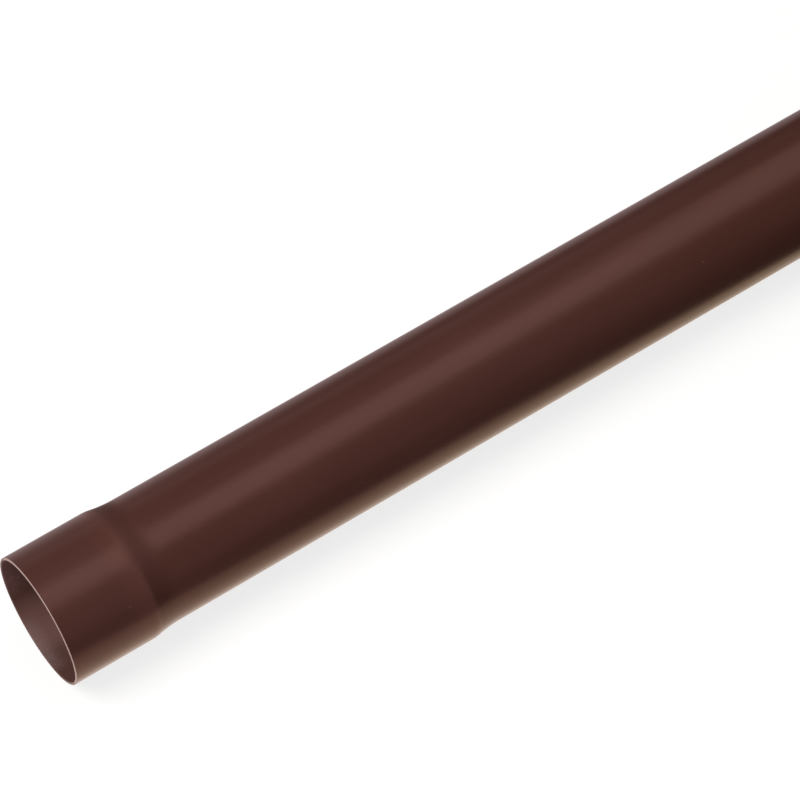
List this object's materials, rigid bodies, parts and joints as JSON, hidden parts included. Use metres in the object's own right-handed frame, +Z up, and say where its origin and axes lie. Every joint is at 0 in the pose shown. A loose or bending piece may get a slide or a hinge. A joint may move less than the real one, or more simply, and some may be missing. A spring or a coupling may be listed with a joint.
{
  "type": "downspout pipe",
  "caption": "Round brown plastic downspout pipe with a belled socket on one end, which carries rainwater down a wall and joins end to end with its like.",
  "frame": {"origin": "on the floor under the middle of the pipe, halfway between the socket's mouth and the plain end", "axes": "+X along the pipe from the socket's mouth to the plain end, +Z up, with the pipe lying on its side"},
  "size_m": [1, 0.0838, 0.084],
  "materials": {
    "brown_plastic": "satin"
  },
  "bodies": {
    "root": {"downspout_pipe": "brown_plastic"}
  },
  "joints": []
}
